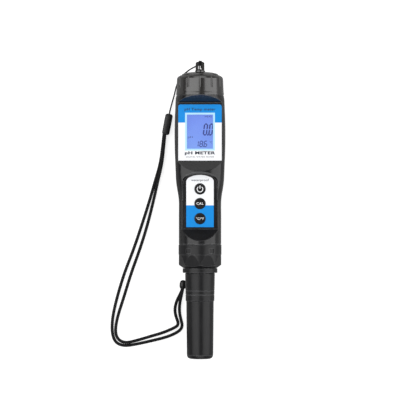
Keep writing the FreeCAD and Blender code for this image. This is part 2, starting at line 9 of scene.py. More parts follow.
import bmesh
import bpy
from bpy.props import FloatProperty, FloatVectorProperty, PointerProperty
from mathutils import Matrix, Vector


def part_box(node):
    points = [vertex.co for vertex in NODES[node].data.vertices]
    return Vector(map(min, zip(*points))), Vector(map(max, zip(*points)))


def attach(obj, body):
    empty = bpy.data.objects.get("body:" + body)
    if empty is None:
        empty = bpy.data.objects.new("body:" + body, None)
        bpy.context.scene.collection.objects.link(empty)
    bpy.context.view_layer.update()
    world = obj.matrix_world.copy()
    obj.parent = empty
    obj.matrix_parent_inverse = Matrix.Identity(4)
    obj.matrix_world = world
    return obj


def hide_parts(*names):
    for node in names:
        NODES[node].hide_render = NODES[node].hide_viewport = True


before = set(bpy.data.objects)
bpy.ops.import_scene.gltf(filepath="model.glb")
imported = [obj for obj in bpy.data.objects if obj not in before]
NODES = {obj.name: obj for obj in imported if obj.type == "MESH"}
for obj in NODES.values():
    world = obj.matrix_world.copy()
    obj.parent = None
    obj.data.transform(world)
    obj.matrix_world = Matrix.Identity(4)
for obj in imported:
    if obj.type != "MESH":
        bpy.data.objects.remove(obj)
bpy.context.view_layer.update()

bl_info = {
    "name": "Pocket pH tester",
    "version": (1, 0, 0),
    "blender": (4, 5, 0),
    "location": "View3D > Sidebar > Tester",
    "description": "Finishes, printing and lanyard of a pocket pH tester",
    "category": "Object",
}

MM = 0.001


def low(node):
    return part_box(node)[0]


def high(node):
    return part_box(node)[1]


AXIS_Z = (low("storage_cap").z + high("storage_cap").z) / 2
LABEL_TOP = high("display_label").z
KEY_TOP = high("power_button").z
LCD_TOP = high("lcd_glass").z
KEYS = ("power_button", "cal_button", "unit_button")


# ---------------------------------------------------------------- sizes and colours
class TesterSizes(bpy.types.PropertyGroup):
    strap_diameter: FloatProperty(
        name="Strap diameter", description="Thickness of the braided wrist strap",
        default=2.2 * MM, unit="LENGTH", precision=5)
    string_diameter: FloatProperty(
        name="String diameter", description="Thickness of the twisted string at the cap",
        default=1.0 * MM, unit="LENGTH", precision=5)
    braid_pitch: FloatProperty(
        name="Braid pitch", description="Length of one stitch of the strap's braid",
        default=1.3 * MM, unit="LENGTH", precision=5)
    camera_height: FloatProperty(
        name="Camera height", description="Height of the camera above the tester",
        default=1.7, unit="LENGTH")
    view_width: FloatProperty(
        name="View width", description="Width of table that the camera sees",
        default=0.272, unit="LENGTH")
    view_centre: FloatProperty(
        name="View centre", description="How far along the pen the camera looks",
        default=7.0 * MM, unit="LENGTH", precision=5)


def colour(name, description, default):
    return FloatVectorProperty(
        name=name, description=description, default=default, subtype="COLOR", size=3, min=0, max=1)


class TesterColours(bpy.types.PropertyGroup):
    casing: colour("Casing", "Satin black plastic of the casing", (0.0055, 0.0055, 0.0062))
    cap: colour("Cap", "Glossier plastic of the battery cap", (0.0105, 0.0095, 0.0088))
    blue: colour("Label blue", "Printed blue of both labels", (0.0, 0.225, 0.64))
    white: colour("Label white", "Printed white of both labels", (0.80, 0.81, 0.83))
    lcd: colour("Backlit display", "Periwinkle glow of the display", (0.215, 0.375, 0.92))
    segment: colour("Segments", "Dark segments of the display", (0.010, 0.014, 0.12))
    ink: colour("Ink", "Dark print on the labels", (0.008, 0.012, 0.035))
    cord: colour("Cord", "Black thread of the lanyard", (0.0035, 0.0035, 0.004))
    floor: colour("Table", "Pale table top", (0.38, 0.38, 0.38))


def sizes():
    return bpy.context.scene.tester_sizes


def colours():
    return bpy.context.scene.tester_colours


# ---------------------------------------------------------------- shader helpers
def new_group(name, inputs, outputs):
    """Empty shader group; inputs are (name, kind, default), outputs are (name, kind)."""
    group = bpy.data.node_groups.new(name, "ShaderNodeTree")
    for label, kind, default in inputs:
        socket = group.interface.new_socket(name=label, in_out="INPUT", socket_type="NodeSocket" + kind)
        socket.default_value = default
    for label, kind in outputs:
        group.interface.new_socket(name=label, in_out="OUTPUT", socket_type="NodeSocket" + kind)
    return group, group.nodes.new("NodeGroupInput"), group.nodes.new("NodeGroupOutput")


def feed(tree, value, socket):
    """Link a socket, or set a plain value."""
    if isinstance(value, bpy.types.NodeSocket):
        tree.links.new(value, socket)
    else:
        socket.default_value = value


def maths(tree, operation, first, second=0.0, third=None, clamp=False):
    """Result of one Math node; each value is a socket or a number."""
    node = tree.nodes.new("ShaderNodeMath")
    node.operation = operation
    node.use_clamp = clamp
    feed(tree, first, node.inputs[0])
    feed(tree, second, node.inputs[1])
    if third is not None:
        feed(tree, third, node.inputs[2])
    return node.outputs[0]


def mixed(tree, factor, first, second, blend="MIX"):
    """Mix of two colours."""
    node = tree.nodes.new("ShaderNodeMix")
    node.data_type = "RGBA"
    node.blend_type = blend
    feed(tree, factor, node.inputs["Factor"])
    feed(tree, first, node.inputs[6])
    feed(tree, second, node.inputs[7])
    return node.outputs[2]


def noise(tree, scale, detail=3.0, roughness=0.55, stretch=None):
    """Noise in object space; scale is cells per metre."""
    place = tree.nodes.new("ShaderNodeTexCoord").outputs["Object"]
    if stretch:
        mapping = tree.nodes.new("ShaderNodeMapping")
        mapping.inputs["Scale"].default_value = stretch
        tree.links.new(place, mapping.inputs["Vector"])
        place = mapping.outputs["Vector"]
    node = tree.nodes.new("ShaderNodeTexNoise")
    tree.links.new(place, node.inputs["Vector"])
    feed(tree, scale, node.inputs["Scale"])
    node.inputs["Detail"].default_value = detail
    node.inputs["Roughness"].default_value = roughness
    return node.outputs["Fac"]


def span(tree, value, from_low, from_high, to_low=0.0, to_high=1.0):
    """Value mapped from one range to another, held at its ends."""
    node = tree.nodes.new("ShaderNodeMapRange")
    feed(tree, value, node.inputs["Value"])
    for label, amount in zip(("From Min", "From Max", "To Min", "To Max"),
                             (from_low, from_high, to_low, to_high)):
        feed(tree, amount, node.inputs[label])
    return node.outputs["Result"]


def moulded_group():
    """Spark-eroded plastic: fine grain, cloudy gloss and faint handling scratches."""
    group, given, made = new_group(
        "moulded_grain",
        (("Colour", "Color", (0.02, 0.02, 0.02, 1)), ("Grain", "Float", 4500.0),
         ("Roughness", "Float", 0.42), ("Variation", "Float", 0.08), ("Scuffs", "Float", 0.3)),
        (("Colour", "Color"), ("Roughness", "Float"), ("Height", "Float")))
    grain = noise(group, given.outputs["Grain"], 2.0)
    clouds = noise(group, 60.0, 4.0)
    scratch_long = noise(group, 1.0, 2.0, 0.5, (2600.0, 90.0, 2600.0))
    scratch_cross = noise(group, 1.0, 2.0, 0.5, (150.0, 3100.0, 900.0))
    scuffs = maths(group, "MAXIMUM", span(group, scratch_long, 0.68, 0.74),
                   span(group, scratch_cross, 0.70, 0.75))
    patch = span(group, noise(group, 110.0, 2.0), 0.48, 0.62)
    scuffs = maths(group, "MULTIPLY", maths(group, "MULTIPLY", scuffs, patch), given.outputs["Scuffs"])
    paler = mixed(group, 1.0, given.outputs["Colour"], (1.9, 1.9, 1.9, 1), "MULTIPLY")
    base = mixed(group, span(group, clouds, 0.3, 0.7, 0.0, 0.35), given.outputs["Colour"], paler)
    worn = mixed(group, maths(group, "MULTIPLY", scuffs, 0.35), base, (0.16, 0.16, 0.165, 1))
    sway = maths(group, "MULTIPLY", maths(group, "SUBTRACT", clouds, 0.5), given.outputs["Variation"])
    rough = maths(group, "ADD", given.outputs["Roughness"], maths(group, "MULTIPLY", sway, 4.0))
    rough = maths(group, "ADD", rough, maths(group, "MULTIPLY", scuffs, 0.15), clamp=True)
    height = maths(group, "SUBTRACT", grain, maths(group, "MULTIPLY", scuffs, 0.6))
    group.links.new(worn, made.inputs["Colour"])
    group.links.new(rough, made.inputs["Roughness"])
    group.links.new(height, made.inputs["Height"])
    return group


def dust_group():
    """Sparse pale specks and a soft film of fingerprints, as a colour and a roughness mask."""
    group, given, made = new_group(
        "fine_dust",
        (("Colour", "Color", (0.5, 0.5, 0.5, 1)), ("Amount", "Float", 0.3)),
        (("Colour", "Color"), ("Mask", "Float")))
    specks = span(group, noise(group, 2400.0, 1.0), 0.76, 0.80)
    film = span(group, noise(group, 150.0, 5.0, 0.65), 0.5, 0.8, 0.0, 0.25)
    mask = maths(group, "MULTIPLY", maths(group, "MAXIMUM", specks, film), given.outputs["Amount"])
    dusty = mixed(group, maths(group, "MULTIPLY", mask, 0.25), given.outputs["Colour"],
                  (0.45, 0.44, 0.42, 1))
    group.links.new(dusty, made.inputs["Colour"])
    group.links.new(mask, made.inputs["Mask"])
    return group


def painted_edge_highlight_group():
    """Painted highlight: a paler line along every sharp edge of a moulding, standing in for the light
    its rounded edges catch.
    """
    group, given, made = new_group(
        "painted_edge_highlight",
        (("Colour", "Color", (0.02, 0.02, 0.02, 1)), ("Amount", "Float", 0.5)),
        (("Colour", "Color"),))
    rounded = group.nodes.new("ShaderNodeBevel")
    rounded.samples = 6
    rounded.inputs["Radius"].default_value = 0.55 * MM
    flat = group.nodes.new("ShaderNodeNewGeometry")
    turn = group.nodes.new("ShaderNodeVectorMath")
    turn.operation = "DOT_PRODUCT"
    group.links.new(rounded.outputs["Normal"], turn.inputs[0])
    group.links.new(flat.outputs["Normal"], turn.inputs[1])
    edge = span(group, turn.outputs["Value"], 0.995, 0.94)
    patch = span(group, noise(group, 300.0, 3.0), 0.3, 0.7, 0.55, 1.0)
    mask = maths(group, "MULTIPLY", maths(group, "MULTIPLY", edge, patch), given.outputs["Amount"])
    # painted highlight: the edge line is mixed towards a pale grey
    highlighted = mixed(group, mask, given.outputs["Colour"], (0.14, 0.14, 0.145, 1))
    group.links.new(highlighted, made.inputs["Colour"])
    return group


def print_block_group():
    """Mask of a printed rectangle between two corners of the label, in metres."""
    corners = (("Left", -0.01), ("Right", 0.01), ("Bottom", -0.01), ("Top", 0.01))
    group, given, made = new_group(
        "printed_block", [(label, "Float", value) for label, value in corners], [("Mask", "Float")])
    place = group.nodes.new("ShaderNodeTexCoord").outputs["Object"]
    split = group.nodes.new("ShaderNodeSeparateXYZ")
    group.links.new(place, split.inputs[0])
    mask = None
    for axis, side, sign in (("X", "Left", 1), ("X", "Right", -1), ("Y", "Bottom", 1), ("Y", "Top", -1)):
        away = maths(group, "SUBTRACT", split.outputs[axis], given.outputs[side])
        inside = maths(group, "MULTIPLY_ADD", away, sign * 12000.0, 0.5, clamp=True)
        mask = inside if mask is None else maths(group, "MULTIPLY", mask, inside)
    group.links.new(mask, made.inputs["Mask"])
    return group


def weave_group():
    """Thread colour and fuzz for cords: colour follows the fibre relief, paler on raised fibres as
    painted sheen and darker in the gaps as painted shade, with loose fibres.
    """
    group, given, made = new_group(
        "cord_thread",
        (("Colour", "Color", (0.01, 0.01, 0.01, 1)), ("Fibre", "Float", 9000.0)),
        (("Colour", "Color"), ("Roughness", "Float"), ("Height", "Float")))
    fibres = noise(group, given.outputs["Fibre"], 4.0, 0.7)
    patches = noise(group, 400.0, 3.0)
    paler = mixed(group, 1.0, given.outputs["Colour"], (3.2, 3.2, 3.3, 1), "MULTIPLY")
    # painted sheen and shade: paler where the fibre relief stands high, darker where it is low
    thread = mixed(group, span(group, fibres, 0.45, 0.75), given.outputs["Colour"], paler)
    thread = mixed(group, span(group, patches, 0.3, 0.8, 0.0, 0.4), thread, given.outputs["Colour"])
    group.links.new(thread, made.inputs["Colour"])
    group.links.new(span(group, fibres, 0.2, 0.8, 0.62, 0.9), made.inputs["Roughness"])
    group.links.new(fibres, made.inputs["Height"])
    return group


GROUP_MAKERS = {
    "moulded_grain": moulded_group,
    "fine_dust": dust_group,
    "painted_edge_highlight": painted_edge_highlight_group,
    "printed_block": print_block_group,
    "cord_thread": weave_group,
}


def placed(tree, name, **values):
    """The shared group in this material, with its own values or links."""
    group = bpy.data.node_groups.get(name) or GROUP_MAKERS[name]()
    node = tree.nodes.new("ShaderNodeGroup")
    node.node_tree = group
    for label, value in values.items():
        feed(tree, value, node.inputs[label])
    return node.outputs


def opaque(rgb):
    return (rgb[0], rgb[1], rgb[2], 1.0)


def new_material(name, **settings):
    """Material with a Principled shader whose plain settings are on its own sockets."""
    material = bpy.data.materials.new(name)
    material.use_nodes = True
    shader = material.node_tree.nodes["Principled BSDF"]
    for label, value in settings.items():
        shader.inputs[label.replace("_", " ")].default_value = value
    return material, material.node_tree, shader


def bumped(tree, shader, height, depth):
    """Height in metres of relief, through a Bump node."""
    bump = tree.nodes.new("ShaderNodeBump")
    bump.inputs["Strength"].default_value = 1.0
    bump.inputs["Distance"].default_value = depth
    tree.links.new(height, bump.inputs["Height"])
    tree.links.new(bump.outputs["Normal"], shader.inputs["Normal"])


def moulded(name, rgb, roughness=0.42, grain=4500.0, depth=0.012 * MM, variation=0.05, scuffs=0.3,
            edge_highlight=0.0, **settings):
    """Moulded plastic, rubber or resin in one colour."""
    material, tree, shader = new_material(name, **settings)
    skin = placed(tree, "moulded_grain", Colour=opaque(rgb), Grain=grain, Roughness=roughness,
                  Variation=variation, Scuffs=scuffs)
    dusty = placed(tree, "fine_dust", Colour=skin["Colour"], Amount=0.12)
    tone = dusty["Colour"]
    # optional painted highlight along the sharp edges
    if edge_highlight:
        tone = placed(tree, "painted_edge_highlight", Colour=tone, Amount=edge_highlight)["Colour"]
    tree.links.new(tone, shader.inputs["Base Color"])
    rough = maths(tree, "MULTIPLY_ADD", dusty["Mask"], 0.25, skin["Roughness"], clamp=True)
    tree.links.new(rough, shader.inputs["Roughness"])
    bumped(tree, shader, skin["Height"], depth)
    return material


def metal(name, rgb, roughness=0.28):
    """Lightly brushed metal."""
    material, tree, shader = new_material(name, Metallic=1.0)
    brushed = noise(tree, 1.0, 3.0, 0.6, (900.0, 7000.0, 900.0))
    tint = mixed(tree, span(tree, brushed, 0.3, 0.7), opaque(rgb), opaque([c * 0.7 for c in rgb]))
    tree.links.new(tint, shader.inputs["Base Color"])
    rough = span(tree, brushed, 0.3, 0.7, roughness, roughness + 0.2)
    tree.links.new(rough, shader.inputs["Roughness"])
    bumped(tree, shader, brushed, 0.004 * MM)
    return material


def clad(material, *names):
    """Give one material to nodes of the frame."""
    for name in names:
        mesh = NODES[name].data
        mesh.materials.clear()
        mesh.materials.append(material)


# ---------------------------------------------------------------- mesh helpers
def new_piece(name, mesh, body, material=None):
    piece = bpy.data.objects.new(name, mesh)
    bpy.context.scene.collection.objects.link(piece)
    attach(piece, body)
    if material:
        mesh.materials.append(material)
    return piece


def mesh_from(name, points, faces, smooth=True):
    mesh = bpy.data.meshes.new(name)
    mesh.from_pydata([tuple(point) for point in points], [], faces)
    for polygon in mesh.polygons:
        polygon.use_smooth = smooth
    mesh.update()
    return mesh


def skinned(name, rows, closed_ends=True):
    """Closed tube mesh through rings of equal length."""
    count = len(rows[0])
    points = [point for row in rows for point in row]
    faces = []
    for row in range(len(rows) - 1):
        for step in range(count):
            nearer = row * count
            after = (step + 1) % count
            faces.append((nearer + step, nearer + after, nearer + count + after, nearer + count + step))
    if closed_ends:
        faces.append(tuple(reversed(range(count))))
        last = (len(rows) - 1) * count
        faces.append(tuple(last + step for step in range(count)))
    return mesh_from(name, points, faces)


def frames_along(path):
    """Tangent and two side vectors at each point, carried along without twist."""
    frames = []
    side = None
    for index in range(len(path)):
        tangent = (path[min(index + 1, len(path) - 1)] - path[max(index - 1, 0)]).normalized()
        if side is None:
            side = tangent.cross(Vector((0, 0, 1))).normalized()
        side = (side - tangent * side.dot(tangent)).normalized()
        frames.append((tangent, side, tangent.cross(side)))
    return frames


def evenly(path, step):
    """Points a fixed step apart along a polyline."""
    lengths = [0.0]
    for before, after in zip(path, path[1:]):
        lengths.append(lengths[-1] + (after - before).length)
    count = max(2, round(lengths[-1] / step))
    spaced = []
    index = 0
    for number in range(count + 1):
        place = lengths[-1] * number / count
        while index < len(path) - 2 and lengths[index + 1] < place:
            index += 1
        part = (place - lengths[index]) / max(lengths[index + 1] - lengths[index], 1e-9)
        spaced.append(path[index].lerp(path[index + 1], min(part, 1.0)))
    return spaced, lengths[-1]


# ---------------------------------------------------------------- lanyard
STRING_ROUTE = (
    (-1.2, 98.7, 13.9), (-5.0, 97.1, 12.6), (-8.5, 95.0, 9.6), (-11.9, 92.2, 5.9),
    (-14.4, 89.0, 3.1), (-16.2, 85.4, 1.4), (-17.5, 79.6, 0.8), (-19.3, 73.2, 1.2),
    (-20.6, 68.4, 2.1), (-21.0, 66.0, 2.5),
)
OUTER_ROUTE = (
    (-24.7, 52.4, 1.2), (-25.6, 44.0, 1.15), (-27.2, 32.0, 1.15), (-30.6, 20.5, 1.15),
    (-34.6, 6.5, 1.15), (-40.1, -10.7, 1.15), (-45.6, -27.0, 1.15), (-52.0, -43.3, 1.15),
    (-56.9, -59.6, 1.15), (-60.2, -74.0, 1.15), (-60.4, -84.6, 1.15), (-57.9, -91.0, 1.15),
    (-51.9, -93.2, 1.15), (-43.7, -91.9, 1.15), (-32.8, -89.5, 1.15), (-23.1, -87.1, 1.15),
    (-16.6, -84.4, 1.15), (-12.9, -81.6, 1.15), (-12.1, -78.6, 1.15), (-13.2, -74.8, 1.15),
    (-14.2, -69.6, 1.3), (-14.0, -64.4, 2.2), (-13.0, -59.4, 3.4), (-11.9, -54.6, 3.45),
    (-11.6, -52.0, 3.4),
)
INNER_ROUTE = (
    (-24.0, 52.4, 3.5), (-24.8, 44.0, 3.5), (-26.0, 32.0, 3.4), (-28.8, 20.5, 2.7),
    (-31.9, 6.5, 1.3), (-36.2, -10.7, 1.15), (-41.3, -27.0, 1.15), (-47.3, -43.3, 1.15),
    (-52.2, -59.6, 1.15), (-56.8, -73.6, 1.15), (-58.3, -83.4, 2.2), (-56.2, -88.8, 2.6),
    (-51.2, -91.1, 2.4), (-43.6, -89.4, 1.5), (-33.6, -86.4, 1.15), (-25.3, -84.0, 1.15),
    (-18.7, -81.2, 1.15), (-15.5, -79.4, 1.15), (-14.9, -77.4, 1.15), (-15.9, -74.6, 1.15),
    (-17.2, -70.4, 1.15), (-17.1, -66.0, 1.15), (-15.6, -61.4, 1.15), (-13.6, -57.6, 1.15),
    (-12.2, -54.4, 1.15), (-11.6, -52.0, 1.2),
)


def smooth_path(name, route):
    """Points read from the route's own NURBS spline."""
    curve = bpy.data.curves.new(name + "_line", "CURVE")
    curve.dimensions = "3D"
    curve.resolution_u = 24
    spline = curve.splines.new("NURBS")
    spline.points.add(len(route) - 1)
    for point, place in zip(spline.points, route):
        point.co = (place[0] * MM, place[1] * MM, place[2] * MM, 1.0)
    spline.order_u = 3
    spline.use_endpoint_u = True
    line = bpy.data.objects.new(name + "_line", curve)
    bpy.context.scene.collection.objects.link(line)
    bpy.context.view_layer.update()
    mesh = bpy.data.meshes.new_from_object(line)
    path = [vertex.co.copy() for vertex in mesh.vertices]
    bpy.data.objects.remove(line)
    bpy.data.meshes.remove(mesh)
    bpy.data.curves.remove(curve)
    return path


def braided(around, along, pitch):
    """Relief of a round braid: bundles that cross left over right, 0 in the gaps, 1 on top."""
    bundles = 4
    left = abs(math.sin(bundles * around / 2 + math.pi * along / pitch))
    right = abs(math.sin(bundles * around / 2 - math.pi * along / pitch))
    return max(left, right) ** 0.8 * 0.75 + 0.25 * left * right


def twisted(around, along, pitch):
    """Relief of three strands laid in a helix."""
    strands = 3
    return abs(math.cos(strands * around / 2 + math.pi * along / pitch))


def cord_mesh(name, path, diameter, pitch, relief, depth, step, around=24):
    """Mesh tube along a path with real relief; its crowns stand at the full diameter."""
    spaced, length = evenly(path, step)
    rows = []
    for index, (point, (_, side, up)) in enumerate(zip(spaced, frames_along(spaced))):
        along = length * index / (len(spaced) - 1)
        row = []
        for number in range(around):
            angle = 2 * math.pi * number / around
            radius = diameter / 2 - depth * (1 - relief(angle, along, pitch))
            row.append(point + (side * math.cos(angle) + up * math.sin(angle)) * radius)
        rows.append(row)
    return skinned(name, rows), spaced, length


def cord_material():
    """Black thread of the string and the straps."""
    material, tree, shader = new_material("black_thread", Specular_IOR_Level=0.2)
    thread = placed(tree, "cord_thread", Colour=opaque(colours().cord), Fibre=9000.0)
    dusty = placed(tree, "fine_dust", Colour=thread["Colour"], Amount=0.2)
    tree.links.new(dusty["Colour"], shader.inputs["Base Color"])
    tree.links.new(thread["Roughness"], shader.inputs["Roughness"])
    bumped(tree, shader, thread["Height"], 0.05 * MM)
    return material


RING_INNER = 13.2 * MM


def flat_ring(name, inner, outer, start, end, body, material):
    """Square-edged ring about the pen's axis."""
    outline = ((inner, start), (outer, start), (outer, end), (inner, end))
    around = 96
    rows = []
    for radius, place in outline:
        row = []
        for step in range(around):
            angle = 2 * math.pi * step / around
            row.append(Vector((radius * math.sin(angle), place, AXIS_Z + radius * math.cos(angle))))
        rows.append(row)
    mesh = skinned(name, rows + rows[:1], closed_ends=False)
    solid = bmesh.new()
    solid.from_mesh(mesh)
    bmesh.ops.remove_doubles(solid, verts=solid.verts, dist=1e-7)
    bmesh.ops.recalc_face_normals(solid, faces=solid.faces)
    for face in solid.faces:
        face.smooth = False
    solid.to_mesh(mesh)
    solid.free()
    return new_piece(name, mesh, body, material)


def block_rows(length, half_wide, half_high, swell, squareness=4.0, around=40, steps=28):
    """Rings of a soft-cornered block that runs down -Y from the origin; swell shapes its ends."""
    rows = []
    for step in range(steps + 1):
        part = 0.5 - 0.5 * math.cos(math.pi * step / steps)
        scale = swell(part)
        row = []
        for number in range(around):
            angle = 2 * math.pi * number / around
            across = math.copysign(abs(math.cos(angle)) ** (2 / squareness), math.cos(angle))
            up = math.copysign(abs(math.sin(angle)) ** (2 / squareness), math.sin(angle))
            row.append(Vector((half_wide * scale * across, -length * part, half_high * scale * up)))
        rows.append(row)
    return rows


def laid(rows, start, end):
    """Rings moved so that the block runs from start to end."""
    along = end - start
    turn = Vector((0, -1, 0)).rotation_difference(along.normalized())
    return [[start + turn @ point for point in row] for row in rows]


SLIDER_TOP = Vector((-20.95, 66.1, 2.55)) * MM
SLIDER_BOTTOM = Vector((-23.75, 51.6, 2.55)) * MM
BEAD_LOW = Vector((-12.0, -54.2, 2.35)) * MM
BEAD_HIGH = Vector((-11.4, -47.9, 2.35)) * MM


def slider_swell(part):
    """Rounded ends, a pinched crimp near each end and a slight barrel between."""
    ends = min(1.0, (1 - abs(2 * part - 1) ** 14) ** 0.5 + 0.001)
    crimp = 0.05 * (math.exp(-((part - 0.17) / 0.02) ** 2) + math.exp(-((part - 0.83) / 0.02) ** 2))
    return max(0.05, ends * (1.0 - crimp))


def bead_swell(part):
    """Round ends of the bead."""
    ends = (1 - abs(2 * part - 1) ** 3.2) ** 0.45
    return max(0.08, ends)


def eye_winding(turns):
    """Helix of string around the eye's top bar, then crossing to where the string leaves."""
    bar_low = 99.0
    bar_high = high("lanyard_post").y / MM
    bar_half_depth = 1.7
    centre_y = (bar_low + bar_high) / 2
    half_y = (bar_high - bar_low) / 2 + 0.42
    half_z = bar_half_depth + 0.5
    first_across = 0.95
    advance = 1.75
    points = []
    steps = 28
    for step in range(turns * steps + 1):
        angle = 2 * math.pi * step / steps - math.pi / 2
        across = first_across - advance * step / (turns * steps)
        reach_y = math.copysign(abs(math.cos(angle)) ** 0.7, math.cos(angle)) * half_y
        reach_z = math.copysign(abs(math.sin(angle)) ** 0.7, math.sin(angle)) * half_z
        points.append(Vector((across * MM, (centre_y + reach_y) * MM, AXIS_Z + reach_z * MM)))
    return points


def eye_loop(across, bottom):
    """Strand that hangs from the eye's top bar in front, and comes back up behind it."""
    top = high("lanyard_post").y / MM + 0.4
    half_z = 2.6
    corner = 0.9
    points = []
    steps = 8
    turns = (
        (top - corner, half_z - corner, 0), (bottom, half_z - corner, 270),
        (bottom, corner - half_z, 180), (top - corner, corner - half_z, 90),
    )
    for centre_y, centre_z, start in turns:
        for step in range(steps + 1):
            angle = math.radians(start + 90 - 90 * step / steps)
            points.append(Vector((across * MM, (centre_y + corner * math.sin(angle)) * MM,
                                  AXIS_Z + (centre_z + corner * math.cos(angle)) * MM)))
    return points


# ---------------------------------------------------------------- printing
INK_FILM = 0.03 * MM
SEGMENT_FILM = 0.02 * MM
PRINT_GAP = 0.005 * MM      # print stands this far clear of what it is on


def lettering(name, words, centre, width, height, level, body, material, bold=0.0):
    """Generic print as a thin mesh, stretched to a width and a height, face up."""
    curve = bpy.data.curves.new(name + "_type", "FONT")
    curve.body = words
    curve.align_x = "CENTER"
    curve.offset = bold
    curve.space_character = 1.08
    curve.resolution_u = 6
    text = bpy.data.objects.new(name + "_type", curve)
    bpy.context.scene.collection.objects.link(text)
    bpy.context.view_layer.update()
    mesh = bpy.data.meshes.new_from_object(text)
    bpy.data.objects.remove(text)
    bpy.data.curves.remove(curve)
    return stamped(name, mesh, centre, width, height, level, body, material)


def stamped(name, mesh, centre, width, height, level, body, material):
    """Fit a flat mesh into a rectangle of the label and give it a film's thickness."""
    across = [vertex.co.x for vertex in mesh.vertices]
    up = [vertex.co.y for vertex in mesh.vertices]
    middle = Vector(((min(across) + max(across)) / 2, (min(up) + max(up)) / 2, 0))
    scale_x = width / (max(across) - min(across))
    scale_y = height / (max(up) - min(up))
    for vertex in mesh.vertices:
        away = vertex.co - middle
        vertex.co = Vector((centre[0] + away.x * scale_x, centre[1] + away.y * scale_y, level))
    thicken(mesh, INK_FILM)
    mesh.name = name
    return new_piece(name, mesh, body, material)


def thicken(mesh, film):
    """Close a flat outline into a film that rests on its level."""
    solid = bmesh.new()
    solid.from_mesh(mesh)
    bmesh.ops.remove_doubles(solid, verts=solid.verts, dist=1e-7)
    for face in solid.faces:
        if face.normal.z < 0:
            face.normal_flip()
    top = bmesh.ops.extrude_face_region(solid, geom=list(solid.faces))
    moved = [item for item in top["geom"] if isinstance(item, bmesh.types.BMVert)]
    bmesh.ops.translate(solid, verts=moved, vec=(0, 0, film))
    bmesh.ops.recalc_face_normals(solid, faces=solid.faces)
    solid.to_mesh(mesh)
    solid.free()
    mesh.materials.clear()


SEGMENTS = {
    "0": "abcdef", "1": "bc", "6": "acdefg", "8": "abcdefg",
}


def segment_outline(which, width, height, bar):
    """Corners of one bar of a seven-bar digit that stands at the origin."""
    gap = 0.10 * bar
    half = bar / 2
    middle = height / 2
    levels = {"a": height - half, "g": middle, "d": half}
    if which in levels:
        level = levels[which]
        left, right = half + gap, width - half - gap
        return [(left, level), (left + half, level + half), (right - half, level + half),
                (right, level), (right - half, level - half), (left + half, level - half)]
    side = half if which in "ef" else width - half
    bottom, top = (half, middle) if which in "ec" else (middle, height - half)
    bottom, top = bottom + gap, top - gap
    return [(side, bottom), (side + half, bottom + half), (side + half, top - half),
            (side, top), (side - half, top - half), (side - half, bottom + half)]


def digits(name, number, left, bottom, width, height, bar, gap, lean, material):
    """Seven-bar digits on the display; a full stop takes no width of its own."""
    points = []
    faces = []
    place = left

    def add(corners):
        start = len(points)
        points.extend((place + x + y * lean, bottom + y, LCD_TOP) for x, y in corners)
        faces.append(tuple(range(start, start + len(corners))))

    for mark in number:
        if mark == ".":
            dot_left = -gap * 0.85
            add([(dot_left, 0), (dot_left + bar, 0), (dot_left + bar, bar), (dot_left, bar)])
            continue
        taken = bar if mark == "1" else width
        for which in SEGMENTS[mark]:
            corners = segment_outline(which, width, height, bar)
            if mark == "1":
                corners = [(x - width + bar, y) for x, y in corners]
            add(corners)
        place += taken + gap
    mesh = mesh_from(name, points, faces, smooth=False)
    thicken(mesh, SEGMENT_FILM)
    return new_piece(name, mesh, "casing", material)


def plain_ink(name, rgb, roughness=0.35):
    """Screen-printed ink with a little unevenness in tone and gloss."""
    material, tree, shader = new_material(name)
    cloud = noise(tree, 3000.0, 3.0)
    paler = opaque([min(1.0, c * 1.25 + 0.004) for c in rgb])
    tree.links.new(mixed(tree, span(tree, cloud, 0.4, 0.7), opaque(rgb), paler),
                   shader.inputs["Base Color"])
    tree.links.new(span(tree, cloud, 0.3, 0.7, roughness, roughness + 0.15), shader.inputs["Roughness"])
    return material


def label_film(name, blocks):
    """Satin polyester film: white ground with coloured blocks, fine print texture and dust."""
    material, tree, shader = new_material(
        name, Specular_IOR_Level=0.25, Coat_Weight=0.08, Coat_Roughness=0.2)
    tone = opaque(colours().white)
    for rgb, corners in blocks:
        mask = placed(tree, "printed_block", **corners)["Mask"]
        tone = mixed(tree, mask, tone, opaque(rgb))
    fleck = span(tree, noise(tree, 7000.0, 2.0), 0.3, 0.7, 0.97, 1.0)
    grain = mixed(tree, 1.0, tone, fleck, "MULTIPLY")
    dusty = placed(tree, "fine_dust", Colour=grain, Amount=0.25)
    tree.links.new(dusty["Colour"], shader.inputs["Base Color"])
    tree.links.new(span(tree, dusty["Mask"], 0.0, 1.0, 0.34, 0.6), shader.inputs["Roughness"])
    bumped(tree, shader, noise(tree, 2600.0, 2.0), 0.004 * MM)
    return material


def corners_mm(left, right, bottom, top):
    """Sides of a printed block, for the group's inputs."""
    return {"Left": left * MM, "Right": right * MM, "Bottom": bottom * MM, "Top": top * MM}


# ---------------------------------------------------------------- operators
class TESTER_OT_camera(bpy.types.Operator):
    """Place the camera straight above the tester"""
    bl_idname = "tester.camera"
    bl_label = "Camera"

    def execute(self, context):
        size = sizes()
        data = bpy.data.cameras.new("overhead")
        data.sensor_width = 36.0
        data.lens = data.sensor_width * (size.camera_height - AXIS_Z) / size.view_width
        data.clip_end = 20.0
        camera = bpy.data.objects.new("overhead", data)
        camera.location = (0.0, size.view_centre, size.camera_height)
        context.scene.collection.objects.link(camera)
        context.scene.camera = camera
        return {"FINISHED"}


